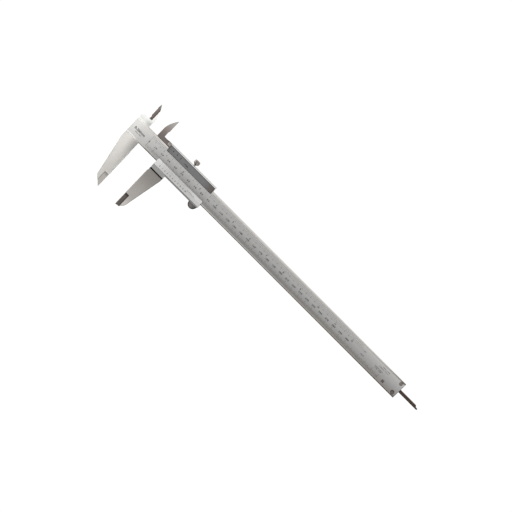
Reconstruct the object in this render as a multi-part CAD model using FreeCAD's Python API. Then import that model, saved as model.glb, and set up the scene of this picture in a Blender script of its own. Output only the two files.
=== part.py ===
import FreeCAD, Part

# A 300 mm vernier caliper with carbide-tipped jaws, lying on its back with the jaws open.
#
# Millimetres. The origin is on the beam's back face, on the beam's centre line, in the plane of the
# fixed outside measuring face. +X runs along the beam towards its tail, +Y towards the inside jaws
# and +Z out of the graduated face. X on the movable outside face is therefore the caliper's reading.

import math
import os

V = FreeCAD.Vector

# ---- driving dimensions ------------------------------------------------------------------------

READING = 26.9                # jaw opening in the rest position
FIT = 0.05                    # running clearance of the slider and of every screw in its hole

# beam
BEAM_LENGTH = 404.5
HEAD_X = -19.0
TAIL_X = HEAD_X + BEAM_LENGTH
BEAM_HALF = 10.0              # half of the beam's width
BEAM_THICK = 4.0
SCALE_Z = 3.85                # graduated face, a little below the two rails that guard it
SCALE_LOW_Y = -7.3
SCALE_HIGH_Y = 8.3
FRONT_CHAMFER = 0.8
BACK_CHAMFER = 0.4
END_CHAMFER = 0.3
GROOVE_START_X = 46.0         # groove for the depth bar in the beam's back
GROOVE_HALF = 1.95
GROOVE_DEPTH = 2.1

# outside jaws
JAW_BACK_Z = 0.5
JAW_FRONT_Z = 3.5
FIXED_JAW_FRONT_Z = 3.8       # the fixed jaw is almost level with the beam's face
JAW_TIP_Y = -75.0
MOVING_TIP_Y = -73.3          # where the movable jaw's curved end meets its carbide
MOVING_CORNER_Y = -74.2       # back corner of the movable carbide's slanted end
JAW_RELIEF = 0.4              # the measuring faces stand this far proud of the jaws' roots
JAW_RELIEF_Y = -23.0
JAW_EDGE = 0.2                # broken edges
CARBIDE_TOP_Y = -58.3
CARBIDE_BACK_Z = 1.1
CARBIDE_FRONT_Z = 2.9
FIXED_CARBIDE_WIDTH = 5.3
MOVING_CARBIDE_WIDTH = 5.2

# inside jaws: thin blades, the fixed one in front of the movable one
FIXED_EDGE_X = -11.0          # measuring edge of the fixed inside jaw
BLADE_WIDTH = 7.2
BLADE_TIP_Y = 37.3
FIXED_TIP_INSET = 0.5          # the fixed blade's edge is rounded back this far at its tip
MOVING_TIP_INSET = 0.0
BLADE_RELIEF = 0.6
BLADE_RELIEF_Y = 21.8
BLADE_CURVE_Y = 22.0          # the blade's back starts to curve towards the tip here
BLADE_CARBIDE_WIDTH = 4.55
BLADE_CARBIDE_Y = 17.5
FIXED_BLADE_Z = (2.15, 3.6)
MOVING_BLADE_Z = (0.15, 1.85)
HEAD_BLOCK_Y = 16.5           # top of the block that carries the fixed blade
BLADE_BAR_Y = (10.12, 14.6)   # bar that carries the movable blade along the beam's edge

# slider
SLIDER_X = (27.75, 94.4)
SLIDER_LOW_Y = -15.35
SLIDER_HIGH_Y = 15.1
SLIDER_BACK_Z = -2.2
LOW_CREST_Y = -13.2           # where the two vernier faces are highest
HIGH_CREST_Y = 14.1
CREST_Z = 6.6
LOW_VERNIER_Y = -5.65         # free edges of the two vernier faces
HIGH_VERNIER_Y = 6.2
VERNIER_EDGE = 0.2
GIB_WALL_Y = 11.3             # inner face of the slider's upper wall
WEB_BACK_Z = -1.5             # the slider's back web, under its cover
JAW_ROOT_X = 45.55
JAW_ROOT_Y = (-18.5, -19.9)   # the step from the root block down to the jaw

# slider hardware
COVER_X = (31.0, 90.4)
COVER_Y = (-14.2, 14.0)
COVER_CORNER = 1.5
COVER_SCREW_X = (33.2, 88.2)
COVER_SCREW_Y = (-12.7, 12.6)
GIB_X = (30.0, 91.5)
GIB_Y = (10.06, 10.96)
GIB_Z = (0.3, 3.7)
CROSS_Z = 2.0                 # height of the screws that cross the upper wall
GIB_SCREW_X = (40.5, 81.0)
LOCK_X = 60.5
LOCK_RADIUS = 1.5             # M3 x 0.5
LOCK_HEAD_RADIUS = 3.45
LOCK_HEAD_Y = (17.0, 21.8)
SHOE_Y = (11.26, 12.2)
THUMB_X = 88.35
THUMB_RADIUS = 5.4
THUMB_Z = (0.6, 4.6)
THUMB_PIN_OFFSET = 2.6
PIN_RADIUS = 0.6

# depth bar
BAR_START_X = 74.5
BAR_HALF = 1.8
BAR_Z = (0.15, 1.95)
ANCHOR_X = (76.0, 88.0)
ANCHOR_SCREW_X = (78.5, 85.5)
ANCHOR_PIN_X = 82.0

# tail stop
STOP_LENGTH = 9.0
STOP_THICK = 1.0
STOP_HALF = 9.6
STOP_SCREW_X = 381.15
STOP_SCREW_Y = 6.6
STOP_SCREW_SINK = 0.15


# ---- helpers -----------------------------------------------------------------------------------

def outline(moves, low, high):
    """Solid between two heights. A move is (x, y), a line to there, or (mx, my, x, y), an arc."""
    here = V(moves[-1][-2], moves[-1][-1], low)
    edges = []
    for move in moves:
        there = V(move[-2], move[-1], low)
        if len(move) == 4:
            middle = V(move[0], move[1], low)
            edges.append(Part.Arc(here, middle, there).toShape())
        else:
            edges.append(Part.LineSegment(here, there).toShape())
        here = there
    return Part.Face(Part.Wire(edges)).extrude(V(0, 0, high - low))


def along_x(section, start, end):
    """Solid of one closed (y, z) section."""
    corners = [V(start, y, z) for y, z in section + section[:1]]
    return Part.Face(Part.makePolygon(corners)).extrude(V(end - start, 0, 0))


def along_y(section, start, end):
    """Solid of one closed (x, z) section."""
    corners = [V(x, start, z) for x, z in section + section[:1]]
    return Part.Face(Part.makePolygon(corners)).extrude(V(0, end - start, 0))


def box(x, y, z):
    """Box from three (low, high) pairs."""
    return Part.makeBox(x[1] - x[0], y[1] - y[0], z[1] - z[0], V(x[0], y[0], z[0]))


def rod(radius, foot, direction, length):
    return Part.makeCylinder(radius, length, foot, direction)


def turned(profile, foot, direction):
    """Solid of revolution. The profile is (radius, distance) pairs along the axis from its foot."""
    corners = [V(0, 0, profile[0][1])]
    corners += [V(r, 0, d) for r, d in profile]
    corners += [V(0, 0, profile[-1][1]), V(0, 0, profile[0][1])]
    solid = Part.Face(Part.makePolygon(corners)).revolve(V(0, 0, 0), V(0, 0, 1), 360)
    turn = FreeCAD.Rotation(V(0, 0, 1), direction)
    solid.Placement = FreeCAD.Placement(foot, turn)
    return solid


def break_edges(solid, heights, size):
    """Chamfers the edges that lie wholly at one of the given heights."""
    def flat_at(edge, height):
        return all(abs(corner.Z - height) < 1e-6 for corner in edge.Vertexes)

    picked = [e for e in solid.Edges if any(flat_at(e, height) for height in heights)]
    return solid.makeChamfer(size, picked)


def countersunk_screw(head_radius, shank_radius, head_depth, length, slot, foot, direction):
    """Slotted screw. The foot is the middle of its head's flat top, the direction its way in."""
    profile = [(head_radius, 0), (head_radius, 0.1), (shank_radius, head_depth)]
    profile += [(shank_radius, length)]
    screw = turned(profile, V(0, 0, 0), V(0, 0, 1))
    screw = screw.cut(box((-head_radius, head_radius), (-slot / 2, slot / 2), (-1, 0.35)))
    screw.Placement = FreeCAD.Placement(foot, FreeCAD.Rotation(V(0, 0, 1), direction))
    return screw


def countersunk_hole(head_radius, shank_radius, head_depth, length, foot, direction):
    """The space that such a screw needs, with the running clearance all round."""
    profile = [(head_radius + FIT, -0.5), (head_radius + FIT, 0.1 + FIT)]
    profile += [(shank_radius + FIT, head_depth + FIT), (shank_radius + FIT, length + 0.2)]
    return turned(profile, foot, direction)


# ---- beam and fixed jaws -----------------------------------------------------------------------

def beam_bar():
    half, top, cut, back = BEAM_HALF, BEAM_THICK, FRONT_CHAMFER, BACK_CHAMFER
    section = [(back - half, 0), (half - back, 0), (half, back), (half, top - cut),
               (half - cut, top), (SCALE_HIGH_Y, top), (SCALE_HIGH_Y, SCALE_Z),
               (SCALE_LOW_Y, SCALE_Z), (SCALE_LOW_Y, top), (cut - half, top),
               (-half, top - cut), (-half, back)]
    bar = along_x(section, HEAD_X, TAIL_X)
    slants = []
    for end, out in ((HEAD_X, -1), (TAIL_X, 1)):
        slant = [(end + out, top - END_CHAMFER - 1), (end + out, top + 1),
                 (end - out * (END_CHAMFER + 1), top + 1)]
        slants.append(along_y(slant, -half - 1, half + 1))
    return bar.cut(slants)


def fixed_outside_jaw():
    root = 1.2 - BEAM_HALF
    jaw = outline([(-JAW_RELIEF, root), (-JAW_RELIEF, JAW_RELIEF_Y), (0, JAW_RELIEF_Y - JAW_RELIEF),
                   (0, JAW_TIP_Y), (-9.6, -65.4), (HEAD_X, -17.0), (HEAD_X, root)],
                  JAW_BACK_Z, FIXED_JAW_FRONT_Z)
    return break_edges(jaw, (JAW_BACK_Z, FIXED_JAW_FRONT_Z), JAW_EDGE)


def carbide_pocket(edge, back, front_z):
    """Room for an outside jaw's carbide between two X, with a slope down to it on both faces."""
    low_x, high_x = min(edge, back), max(edge, back)
    bottom = JAW_TIP_Y - 1
    drop = front_z - CARBIDE_FRONT_Z
    pocket = box((low_x, high_x), (bottom, CARBIDE_TOP_Y), (JAW_BACK_Z - 1, front_z + 1))
    front = [(CARBIDE_TOP_Y, CARBIDE_FRONT_Z), (CARBIDE_TOP_Y + drop + 1, front_z + 1),
             (CARBIDE_TOP_Y, front_z + 1)]
    rear = [(CARBIDE_TOP_Y, CARBIDE_BACK_Z), (CARBIDE_TOP_Y, JAW_BACK_Z - 1),
            (CARBIDE_TOP_Y + drop + 1, JAW_BACK_Z - 1)]
    return pocket.fuse([along_x(front, low_x, high_x), along_x(rear, low_x, high_x)])


def fixed_outside_carbide():
    back = -FIXED_CARBIDE_WIDTH
    slope = (JAW_TIP_Y + 65.4) / 9.6
    tip = outline([(0, CARBIDE_TOP_Y), (back, CARBIDE_TOP_Y), (back, JAW_TIP_Y + slope * back),
                   (0, JAW_TIP_Y)], CARBIDE_BACK_Z, CARBIDE_FRONT_Z)
    return tip


def blade(edge, side, tip, foot_y, heights):
    """Inside jaw blade. side is the way its body lies from its measuring edge, 1 or -1 along X."""
    def x(inset):
        return edge + side * inset

    return outline([(x(BLADE_RELIEF), foot_y), (x(BLADE_RELIEF), BLADE_RELIEF_Y - BLADE_RELIEF),
                    (x(0), BLADE_RELIEF_Y), (x(0), BLADE_TIP_Y - 4), (x(tip), BLADE_TIP_Y),
                    (x(tip + 0.2), BLADE_TIP_Y),
                    (x(4.3), 31.0, x(BLADE_WIDTH), BLADE_CURVE_Y), (x(BLADE_WIDTH), foot_y)],
                   heights[0], heights[1])


def fixed_blade():
    return blade(FIXED_EDGE_X, 1, FIXED_TIP_INSET, HEAD_BLOCK_Y - 1, FIXED_BLADE_Z)


def fixed_blade_carbide_room():
    reach = FIXED_EDGE_X + BLADE_CARBIDE_WIDTH
    return box((FIXED_EDGE_X - 1, reach), (BLADE_CARBIDE_Y, BLADE_TIP_Y + 1), (0, BEAM_THICK))


def fixed_inside_carbide():
    """The fixed blade's edge, ground to a bevel on its front."""
    low, high = FIXED_BLADE_Z
    reach = FIXED_EDGE_X + BLADE_CARBIDE_WIDTH
    insert = fixed_blade().common(fixed_blade_carbide_room())
    bevel = [(reach, high), (FIXED_EDGE_X - 1, high - 1.2), (FIXED_EDGE_X - 1, high + 1),
             (reach, high + 1)]
    return insert.cut(along_y(bevel, BLADE_CARBIDE_Y - 1, BLADE_TIP_Y + 1))


def fixed_inside_jaw():
    low, high = FIXED_BLADE_Z
    blade_back = FIXED_EDGE_X + BLADE_WIDTH
    neck = FIXED_EDGE_X + BLADE_RELIEF
    fillet = 1.6
    block = outline([(HEAD_X, BEAM_HALF - 1.2), (blade_back, BEAM_HALF - 1.2),
                     (blade_back, HEAD_BLOCK_Y + fillet), (neck, HEAD_BLOCK_Y + fillet),
                     (neck - fillet * 0.29, HEAD_BLOCK_Y + fillet * 0.29,
                      neck - fillet, HEAD_BLOCK_Y),
                     (HEAD_X + 0.8, HEAD_BLOCK_Y), (HEAD_X, HEAD_BLOCK_Y - 0.8)], low, high)
    jaw = block.fuse(fixed_blade()).removeSplitter()
    return jaw.cut(fixed_blade_carbide_room())


def stop_screw_foot(side):
    return V(STOP_SCREW_X, side * STOP_SCREW_Y, SCALE_Z - STOP_SCREW_SINK)


def stop_screw_room(side):
    """Counterbored hole through the beam and its stop plate."""
    head = rod(1.95 + FIT, stop_screw_foot(side) + V(0, 0, 1), V(0, 0, -1), 2.4)
    shank = rod(1.0 + FIT, stop_screw_foot(side), V(0, 0, -1), SCALE_Z + STOP_THICK + 1)
    return head.fuse(shank)


def main_beam():
    bar = beam_bar()
    groove = box((GROOVE_START_X, TAIL_X + 1), (-GROOVE_HALF, GROOVE_HALF), (-1, GROOVE_DEPTH))
    bar = bar.cut(groove)
    outside = fixed_outside_jaw().cut(carbide_pocket(1, -FIXED_CARBIDE_WIDTH, FIXED_JAW_FRONT_Z))
    beam = bar.fuse([outside, fixed_inside_jaw()])
    return beam.cut([stop_screw_room(-1), stop_screw_room(1)])


def tail_stop_plate():
    """Plate across the groove at the tail: it holds the depth bar in and stops the slider."""
    plate = box((TAIL_X - STOP_LENGTH, TAIL_X), (-STOP_HALF, STOP_HALF), (-STOP_THICK, 0))
    plate = break_edges(plate, (-STOP_THICK,), 0.3)
    return plate.cut([stop_screw_room(-1), stop_screw_room(1)])


def tail_stop_screws():
    screws = []
    for side in (-1, 1):
        foot = stop_screw_foot(side)
        length = foot.z + STOP_THICK - 0.1
        profile = [(1.75, 0), (1.95, 0.2), (1.95, 1.3), (1.0, 1.3), (1.0, length)]
        screw = turned(profile, foot, V(0, 0, -1))
        slot = box((foot.x - 0.3, foot.x + 0.3), (foot.y - 2, foot.y + 2), (foot.z - 0.6, foot.z + 1))
        screws.append(screw.cut(slot))
    return Part.makeCompound(screws)


# ---- slider and movable jaws -------------------------------------------------------------------

def slider_channel():
    """The length of the slider that wraps the beam: two vernier rails joined by a back web."""
    lip = BEAM_THICK + FIT
    section = [(LOW_VERNIER_Y, lip), (LOW_VERNIER_Y, lip + VERNIER_EDGE), (LOW_CREST_Y, CREST_Z),
               (SLIDER_LOW_Y, CREST_Z - 1.3), (SLIDER_LOW_Y, SLIDER_BACK_Z + 0.5),
               (SLIDER_LOW_Y + 0.5, SLIDER_BACK_Z), (SLIDER_HIGH_Y - 0.5, SLIDER_BACK_Z),
               (SLIDER_HIGH_Y, SLIDER_BACK_Z + 0.5), (SLIDER_HIGH_Y, CREST_Z - 1.0),
               (HIGH_CREST_Y, CREST_Z), (HIGH_VERNIER_Y, lip + VERNIER_EDGE),
               (HIGH_VERNIER_Y, lip), (GIB_WALL_Y, lip), (GIB_WALL_Y, -FIT),
               (-BEAM_HALF - FIT, -FIT), (-BEAM_HALF - FIT, lip)]
    return along_x(section, SLIDER_X[0], SLIDER_X[1])


def jaw_root():
    """Block below the lower rail that carries the movable outside jaw."""
    high, low = JAW_ROOT_Y
    section = [(-BEAM_HALF - 1, CREST_Z - 1.5), (LOW_CREST_Y, CREST_Z), (high, 4.9),
               (low, JAW_FRONT_Z), (low, JAW_BACK_Z), (high, -0.9),
               (SLIDER_LOW_Y + 0.5, SLIDER_BACK_Z), (-BEAM_HALF - 1, SLIDER_BACK_Z)]
    block = along_x(section, SLIDER_X[0], JAW_ROOT_X)
    radius = 1.1
    corner = outline([(JAW_ROOT_X - 0.5, SLIDER_LOW_Y - radius), (JAW_ROOT_X, SLIDER_LOW_Y - radius),
                      (JAW_ROOT_X + radius * 0.29, SLIDER_LOW_Y - radius * 0.29,
                       JAW_ROOT_X + radius, SLIDER_LOW_Y),
                      (JAW_ROOT_X + radius, SLIDER_LOW_Y + 0.5),
                      (JAW_ROOT_X - 0.5, SLIDER_LOW_Y + 0.5)], 0, CREST_Z - 1.6)
    return block.fuse(corner)


def moving_outside_jaw():
    relief = READING + JAW_RELIEF + 0.1
    foot = JAW_ROOT_Y[0]
    jaw = outline([(relief, foot), (JAW_ROOT_X, foot), (JAW_ROOT_X, JAW_RELIEF_Y), (36.8, -65.3),
                   (35.2, -70.1, READING + MOVING_CARBIDE_WIDTH, MOVING_TIP_Y),
                   (READING, JAW_TIP_Y),
                   (READING, JAW_RELIEF_Y - JAW_RELIEF), (relief, JAW_RELIEF_Y)],
                  JAW_BACK_Z, JAW_FRONT_Z)
    jaw = break_edges(jaw, (JAW_BACK_Z, JAW_FRONT_Z), JAW_EDGE)
    return jaw.cut(carbide_pocket(READING - 1, READING + MOVING_CARBIDE_WIDTH, JAW_FRONT_Z))


def movable_outside_carbide():
    back = READING + MOVING_CARBIDE_WIDTH
    return outline([(READING, CARBIDE_TOP_Y), (READING, JAW_TIP_Y), (back, MOVING_CORNER_Y),
                    (back, CARBIDE_TOP_Y)], CARBIDE_BACK_Z, CARBIDE_FRONT_Z)


def moving_edge():
    return FIXED_EDGE_X + READING


def moving_blade():
    return blade(moving_edge(), -1, MOVING_TIP_INSET, BLADE_BAR_Y[0], MOVING_BLADE_Z)


def moving_blade_carbide_room():
    """The insert lies behind the blade's steel face and reaches through it only at the edge."""
    low, high = MOVING_BLADE_Z
    edge, reach = moving_edge(), moving_edge() - BLADE_CARBIDE_WIDTH
    section = [(edge + 1, high + 1), (edge - 0.8, high + 1), (edge - 0.8, high - 0.6),
               (reach, high - 0.6), (reach, low - 1), (edge + 1, low - 1)]
    return along_y(section, BLADE_CARBIDE_Y, BLADE_TIP_Y + 1)


def movable_inside_carbide():
    """The movable blade's edge, ground to a bevel on its back."""
    low = MOVING_BLADE_Z[0]
    edge, reach = moving_edge(), moving_edge() - BLADE_CARBIDE_WIDTH
    insert = moving_blade().common(moving_blade_carbide_room())
    bevel = [(reach, low), (edge + 1, low + 1.3), (edge + 1, low - 1), (reach, low - 1)]
    return insert.cut(along_y(bevel, BLADE_CARBIDE_Y - 1, BLADE_TIP_Y + 1))


def moving_inside_jaw():
    low, high = MOVING_BLADE_Z
    neck = moving_edge() - BLADE_RELIEF
    bottom, top = BLADE_BAR_Y
    fillet = 1.0
    bar = outline([(moving_edge() - BLADE_WIDTH, bottom), (SLIDER_X[0] + 0.5, bottom),
                   (SLIDER_X[0] + 0.5, SLIDER_HIGH_Y), (22.6, SLIDER_HIGH_Y), (21.0, top),
                   (neck + fillet, top), (neck + fillet * 0.29, top + fillet * 0.29,
                                          neck, top + fillet),
                   (moving_edge() - BLADE_WIDTH, top + fillet)], low, high)
    ramp = along_y([(23.4, high - 0.3), (23.4, high), (SLIDER_X[0], 4.6), (SLIDER_X[0] + 0.5, 4.6),
                    (SLIDER_X[0] + 0.5, high - 0.3)], GIB_WALL_Y, SLIDER_HIGH_Y)
    jaw = bar.fuse([moving_blade(), ramp]).removeSplitter()
    return jaw.cut(moving_blade_carbide_room())


def rounded_plate(x, y, corner, low, high):
    inset = corner * 0.29
    return outline([(x[1] - corner, y[0]), (x[1] - inset, y[0] + inset, x[1], y[0] + corner),
                    (x[1], y[1] - corner), (x[1] - inset, y[1] - inset, x[1] - corner, y[1]),
                    (x[0] + corner, y[1]), (x[0] + inset, y[1] - inset, x[0], y[1] - corner),
                    (x[0], y[0] + corner), (x[0] + inset, y[0] + inset, x[0] + corner, y[0])],
                   low, high)


def cover_screw_feet():
    return [V(x, y, SLIDER_BACK_Z) for x in COVER_SCREW_X for y in COVER_SCREW_Y]


def cover_screw_rooms():
    return [countersunk_hole(1.25, 0.75, 0.6, 3.0, foot, V(0, 0, 1)) for foot in cover_screw_feet()]


def anchor_screw_feet():
    return [V(x, 0, SLIDER_BACK_Z) for x in ANCHOR_SCREW_X]


def anchor_screw_rooms():
    return [countersunk_hole(1.1, 0.6, 0.6, 1.9, foot, V(0, 0, 1)) for foot in anchor_screw_feet()]


def thumb_pin_rooms():
    rooms = []
    for side in (-1, 1):
        foot = V(THUMB_X + side * THUMB_PIN_OFFSET, SLIDER_LOW_Y - 2.5 - FIT, sum(THUMB_Z) / 2)
        rooms.append(rod(PIN_RADIUS + FIT, foot, V(0, 1, 0), 4.5 + 2 * FIT))
    return rooms


def slider_body():
    body = slider_channel().fuse([jaw_root(), moving_outside_jaw(), moving_inside_jaw()])
    wall = SLIDER_HIGH_Y - GIB_WALL_Y + 2
    cross = [rod(LOCK_RADIUS, V(LOCK_X, GIB_WALL_Y - 1, CROSS_Z), V(0, 1, 0), wall)]
    cross += [rod(1.0 + FIT, V(x, GIB_WALL_Y - 1, CROSS_Z), V(0, 1, 0), wall) for x in GIB_SCREW_X]
    cover_room = rounded_plate((COVER_X[0] - FIT, COVER_X[1] + FIT),
                               (COVER_Y[0] - FIT, COVER_Y[1] + FIT),
                               COVER_CORNER, SLIDER_BACK_Z - 1, WEB_BACK_Z)
    window = box((ANCHOR_X[0] - 0.2, ANCHOR_X[1] + 0.2), (-GROOVE_HALF, GROOVE_HALF),
                 (WEB_BACK_Z - 1, 0.5))
    return body.cut(cross + [cover_room, window] + cover_screw_rooms() + thumb_pin_rooms())


# ---- slider hardware ---------------------------------------------------------------------------

def slider_back_cover():
    plate = rounded_plate(COVER_X, COVER_Y, COVER_CORNER, SLIDER_BACK_Z, WEB_BACK_Z)
    return plate.cut(cover_screw_rooms() + anchor_screw_rooms())


def back_cover_screws():
    return Part.makeCompound([countersunk_screw(1.25, 0.75, 0.6, 3.0, 0.35, foot, V(0, 0, 1))
                              for foot in cover_screw_feet()])


def gib_strip():
    """Bronze strip between the beam's upper edge and the slider, with a dimple for each screw."""
    strip = box(GIB_X, GIB_Y, GIB_Z)
    dimples = [rod(0.75, V(x, GIB_Y[1] - 0.2, CROSS_Z), V(0, 1, 0), 1) for x in GIB_SCREW_X]
    return strip.cut(dimples)


def gib_set_screws():
    """Slotted grub screws whose dog points sit in the gib's dimples."""
    screws = []
    for x in GIB_SCREW_X:
        foot = V(x, GIB_Y[1] - 0.18, CROSS_Z)
        length = SLIDER_HIGH_Y - 0.3 - foot.y
        profile = [(0.65, 0), (0.65, 0.6), (1.0, 0.6), (1.0, length - 0.15), (0.85, length)]
        screw = turned(profile, foot, V(0, 1, 0))
        slot = box((x - 2, x + 2), (foot.y + length - 0.7, foot.y + length + 1),
                   (CROSS_Z - 0.2, CROSS_Z + 0.2))
        screws.append(screw.cut(slot))
    return Part.makeCompound(screws)


def lock_screw():
    """Thumb screw: threaded shank, a neck, a coned shoulder and a knurled drum."""
    start = SHOE_Y[1] + 0.04
    bottom, top = LOCK_HEAD_Y[0] - start, LOCK_HEAD_Y[1] - start
    thread, neck, drum = LOCK_RADIUS - FIT, 1.1, LOCK_HEAD_RADIUS
    profile = [(thread - 0.3, 0), (thread, 0.3), (thread, bottom - 1.9), (neck, bottom - 1.6),
               (neck, bottom - 0.5), (1.6, bottom - 0.2), (drum, bottom + 1.0), (drum, top - 0.7),
               (drum - 0.5, top)]
    return turned(profile, V(LOCK_X, start, CROSS_Z), V(0, 1, 0))


def lock_shoe():
    """Brass plug that the lock screw presses against the gib."""
    length = SHOE_Y[1] - SHOE_Y[0]
    profile = [(1.2, 0), (1.4, 0.2), (1.4, length)]
    return turned(profile, V(LOCK_X, SHOE_Y[0], CROSS_Z), V(0, 1, 0))


def thumb_rest():
    """Half disc under the lower rail, with a serrated rim."""
    left, right = V(THUMB_X - THUMB_RADIUS, 0, 0), V(THUMB_X + THUMB_RADIUS, 0, 0)
    disc = outline([(left.x, SLIDER_LOW_Y),
                    (THUMB_X, SLIDER_LOW_Y - THUMB_RADIUS, right.x, SLIDER_LOW_Y)],
                   THUMB_Z[0], THUMB_Z[1])
    disc = break_edges(disc, THUMB_Z, 0.5)
    notches = []
    count = 18
    for index in range(1, count):
        angle = math.pi * (1 + index / count)
        at = V(THUMB_X + THUMB_RADIUS * math.cos(angle), SLIDER_LOW_Y + THUMB_RADIUS * math.sin(angle),
               THUMB_Z[0] - 1)
        notches.append(rod(0.22, at, V(0, 0, 1), THUMB_Z[1] - THUMB_Z[0] + 2))
    return disc.cut(notches + thumb_pin_rooms() + [box((80, 100), (SLIDER_LOW_Y, 0), (-5, 9))])


def thumb_rest_pins():
    pins = []
    for side in (-1, 1):
        foot = V(THUMB_X + side * THUMB_PIN_OFFSET, SLIDER_LOW_Y - 2.5, sum(THUMB_Z) / 2)
        pins.append(rod(PIN_RADIUS, foot, V(0, 1, 0), 4.5))
    return Part.makeCompound(pins)


# ---- depth bar ---------------------------------------------------------------------------------

def anchor_pin_room():
    return rod(PIN_RADIUS + FIT, V(ANCHOR_PIN_X, 0, -0.9), V(0, 0, 1), 5)


def depth_bar():
    """Flat bar in the beam's groove. Its end is level with the tail when the jaws are shut."""
    end = TAIL_X + READING
    bar = outline([(BAR_START_X, -BAR_HALF), (end - 0.3, -BAR_HALF), (end, 0.3 - BAR_HALF),
                   (end, -0.2), (end - 2.6, 0.1), (end - 3.8, BAR_HALF), (BAR_START_X, BAR_HALF)],
                  BAR_Z[0], BAR_Z[1])
    vee = along_x([(-0.45, BAR_Z[1]), (-0.45, BAR_Z[1] + 1), (0.45, BAR_Z[1] + 1),
                   (0.45, BAR_Z[1]), (0, BAR_Z[1] - 0.4)], ANCHOR_X[1] + 4, end + 1)
    return bar.cut([vee, anchor_pin_room()])


def depth_bar_anchor():
    """Block in the back web's window that joins the depth bar to the cover."""
    block = box(ANCHOR_X, (-BAR_HALF + 0.05, BAR_HALF - 0.05), (WEB_BACK_Z, BAR_Z[0]))
    return block.cut(anchor_screw_rooms() + [anchor_pin_room()])


def depth_bar_anchor_screws():
    return Part.makeCompound([countersunk_screw(1.1, 0.6, 0.6, 1.9, 0.3, foot, V(0, 0, 1))
                              for foot in anchor_screw_feet()])


def depth_bar_pin():
    return rod(PIN_RADIUS, V(ANCHOR_PIN_X, 0, -0.85), V(0, 0, 1), BAR_Z[1] + 0.75)


# ---- files -------------------------------------------------------------------------------------

PIECES = [
    main_beam,
    fixed_outside_carbide,
    fixed_inside_carbide,
    tail_stop_plate,
    tail_stop_screws,
    slider_body,
    movable_outside_carbide,
    movable_inside_carbide,
    slider_back_cover,
    back_cover_screws,
    gib_strip,
    gib_set_screws,
    lock_screw,
    lock_shoe,
    thumb_rest,
    thumb_rest_pins,
    depth_bar,
    depth_bar_anchor,
    depth_bar_anchor_screws,
    depth_bar_pin,
]

os.makedirs("parts", exist_ok=True)
for make in PIECES:
    shape = make()
    solids = shape.Solids
    low, high = shape.BoundBox.ZMin, shape.BoundBox.ZMax
    print(f"{make.__name__:26s} solids {len(solids)} valid {shape.isValid()} "
          f"volume {shape.Volume:9.2f} z {low:.2f}..{high:.2f}")
    shape.exportStep(f"parts/{make.__name__}.step")
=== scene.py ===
import bmesh
import bpy
import math
from mathutils import Matrix, Vector


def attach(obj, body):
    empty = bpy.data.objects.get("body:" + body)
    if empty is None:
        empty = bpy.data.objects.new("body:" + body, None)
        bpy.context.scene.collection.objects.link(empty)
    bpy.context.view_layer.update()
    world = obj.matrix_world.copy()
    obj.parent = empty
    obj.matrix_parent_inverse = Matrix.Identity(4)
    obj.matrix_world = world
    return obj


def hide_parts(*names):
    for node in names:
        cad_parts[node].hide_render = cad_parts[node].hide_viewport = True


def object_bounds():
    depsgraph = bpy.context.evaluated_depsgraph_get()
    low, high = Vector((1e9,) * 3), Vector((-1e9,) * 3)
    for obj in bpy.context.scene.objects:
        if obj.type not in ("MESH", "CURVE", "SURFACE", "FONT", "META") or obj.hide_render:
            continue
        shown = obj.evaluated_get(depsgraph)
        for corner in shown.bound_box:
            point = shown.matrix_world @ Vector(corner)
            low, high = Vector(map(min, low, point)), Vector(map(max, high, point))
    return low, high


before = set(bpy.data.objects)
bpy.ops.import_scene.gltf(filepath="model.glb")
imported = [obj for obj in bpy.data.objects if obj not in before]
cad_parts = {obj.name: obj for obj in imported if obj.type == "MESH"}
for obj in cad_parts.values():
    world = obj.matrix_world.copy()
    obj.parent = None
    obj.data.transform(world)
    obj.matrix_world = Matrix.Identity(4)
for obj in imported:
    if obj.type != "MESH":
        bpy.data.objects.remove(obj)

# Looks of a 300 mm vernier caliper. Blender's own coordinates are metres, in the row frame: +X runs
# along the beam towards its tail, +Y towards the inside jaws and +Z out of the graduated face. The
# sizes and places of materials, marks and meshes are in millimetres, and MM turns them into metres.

MM = 0.001
scene = bpy.context.scene
cad_box = [list(corner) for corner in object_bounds()]

# ---- sizes of the CAD model, in millimetres -----------------------------------------------------

BEAM_HALF = 10.0              # half of the beam's width
TAIL_X = 385.5                # the beam's far end
SCALE_Z = 3.85                # the graduated face
SCALE_LOW_Y = -7.3
SCALE_HIGH_Y = 8.3
METRIC_ZERO_X = 7.5           # main scale zero; the outside face is at 0 when the jaws are shut
READING = 26.9                # jaw opening in the rest position
VERNIER_ZERO_X = METRIC_ZERO_X + READING
STOP_SCREW_X, STOP_SCREW_Y = 381.15, 6.6      # the second screw is at -Y
SLIDER_X = (27.75, 94.4)      # the slider's two ends
SLIDER_FACE_Z = 4.0           # the slider's front faces are above this height
LOW_FACE = ((-5.65, 4.25), (-13.2, 6.6))      # lower vernier face: (y, z) of its free edge and crest
HIGH_FACE = ((6.2, 4.25), (14.1, 6.6))        # the same of the upper vernier face
CARBIDE_TOP_Y = -58.3         # root of the outside jaws' carbide tips
MOVING_CARBIDE_X = READING + 5.2              # back of the movable jaw's carbide
JAW_ROOT_Y = (-18.5, -19.9)   # slope from the slider's root block down to the movable jaw
FIXED_EDGE_X = -11.0          # measuring edge of the fixed inside jaw
BLADE_FRONT_Z = 1.85          # front of the movable inside jaw
THUMB_X, THUMB_Y = 88.35, -15.35              # centre of the thumb rest's half disc
LOCK_X, LOCK_Z = 60.5, 2.0    # axis of the lock screw, which runs along Y
LOCK_HEAD_Y = (17.0, 21.8)
BAR_END_X = TAIL_X + READING  # far end of the depth bar
INCH = 25.4

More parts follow.
